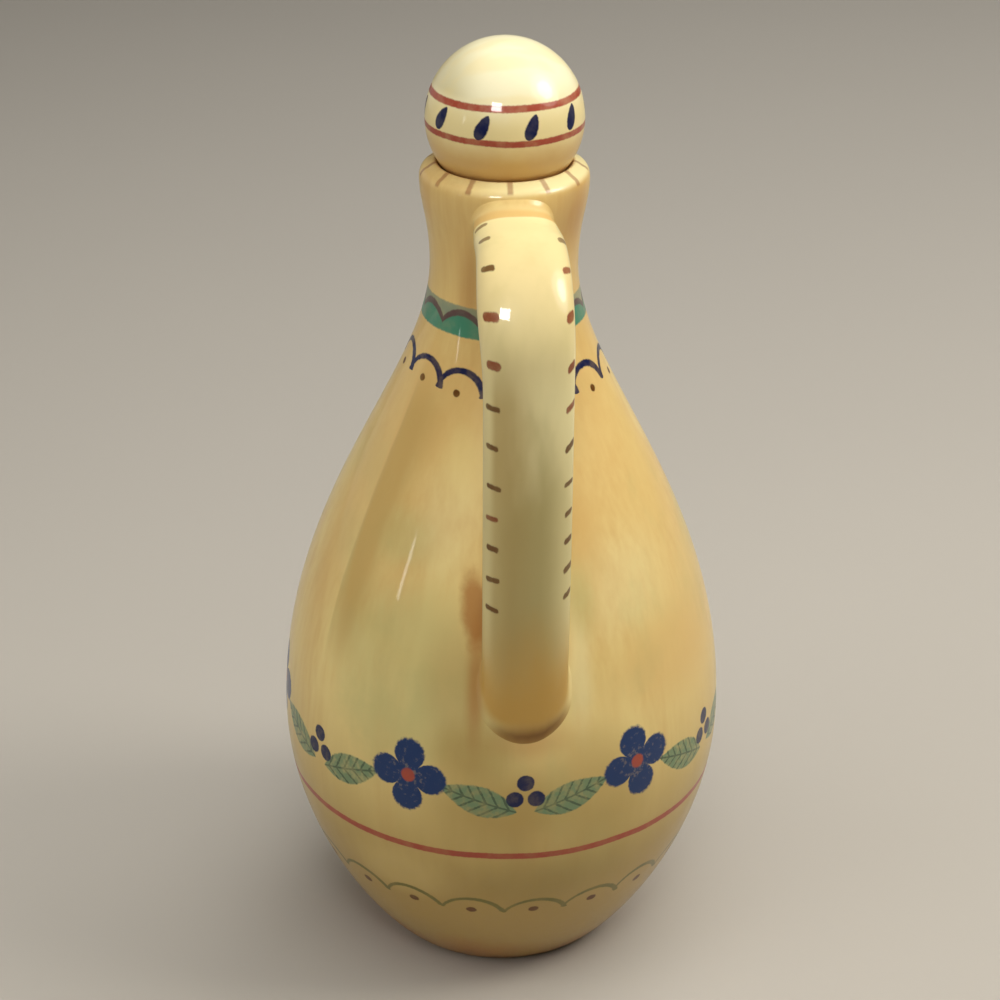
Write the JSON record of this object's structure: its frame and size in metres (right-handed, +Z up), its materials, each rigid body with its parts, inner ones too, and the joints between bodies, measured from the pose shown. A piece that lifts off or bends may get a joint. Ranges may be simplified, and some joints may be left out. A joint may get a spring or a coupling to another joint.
{
  "type": "vinegar cruet",
  "caption": "Pear-shaped glazed ceramic cruet with a strap handle, a hollow body, a round lip and a lift-out ball stopper on a finned sealing sleeve.",
  "frame": {"origin": "centre of the foot ring on the surface that the cruet stands on", "axes": "+Z up along the axis of the bottle, the handle towards -Y, +X to the right when seen from the handle side"},
  "size_m": [0.0936, 0.0953, 0.2],
  "materials": {
    "bottle_glaze": "glossy clear glaze over ochre washes and painted bands",
    "handle_glaze": "glossy clear glaze over cream with painted edge ticks",
    "stopper_glaze": "glossy clear glaze over cream with painted bands",
    "sleeve": "soft translucent matte"
  },
  "bodies": {
    "bottle": {"bottle_body": "bottle_glaze", "strap_handle": "handle_glaze"},
    "stopper": {"stopper_knob": "stopper_glaze", "stopper_seal": "sleeve"}
  },
  "joints": [
    {"name": "stopper_lift", "type": "slide", "parent": "bottle", "child": "stopper", "axis": [0, 0, 1], "range_m": [0, 0.06]}
  ]
}
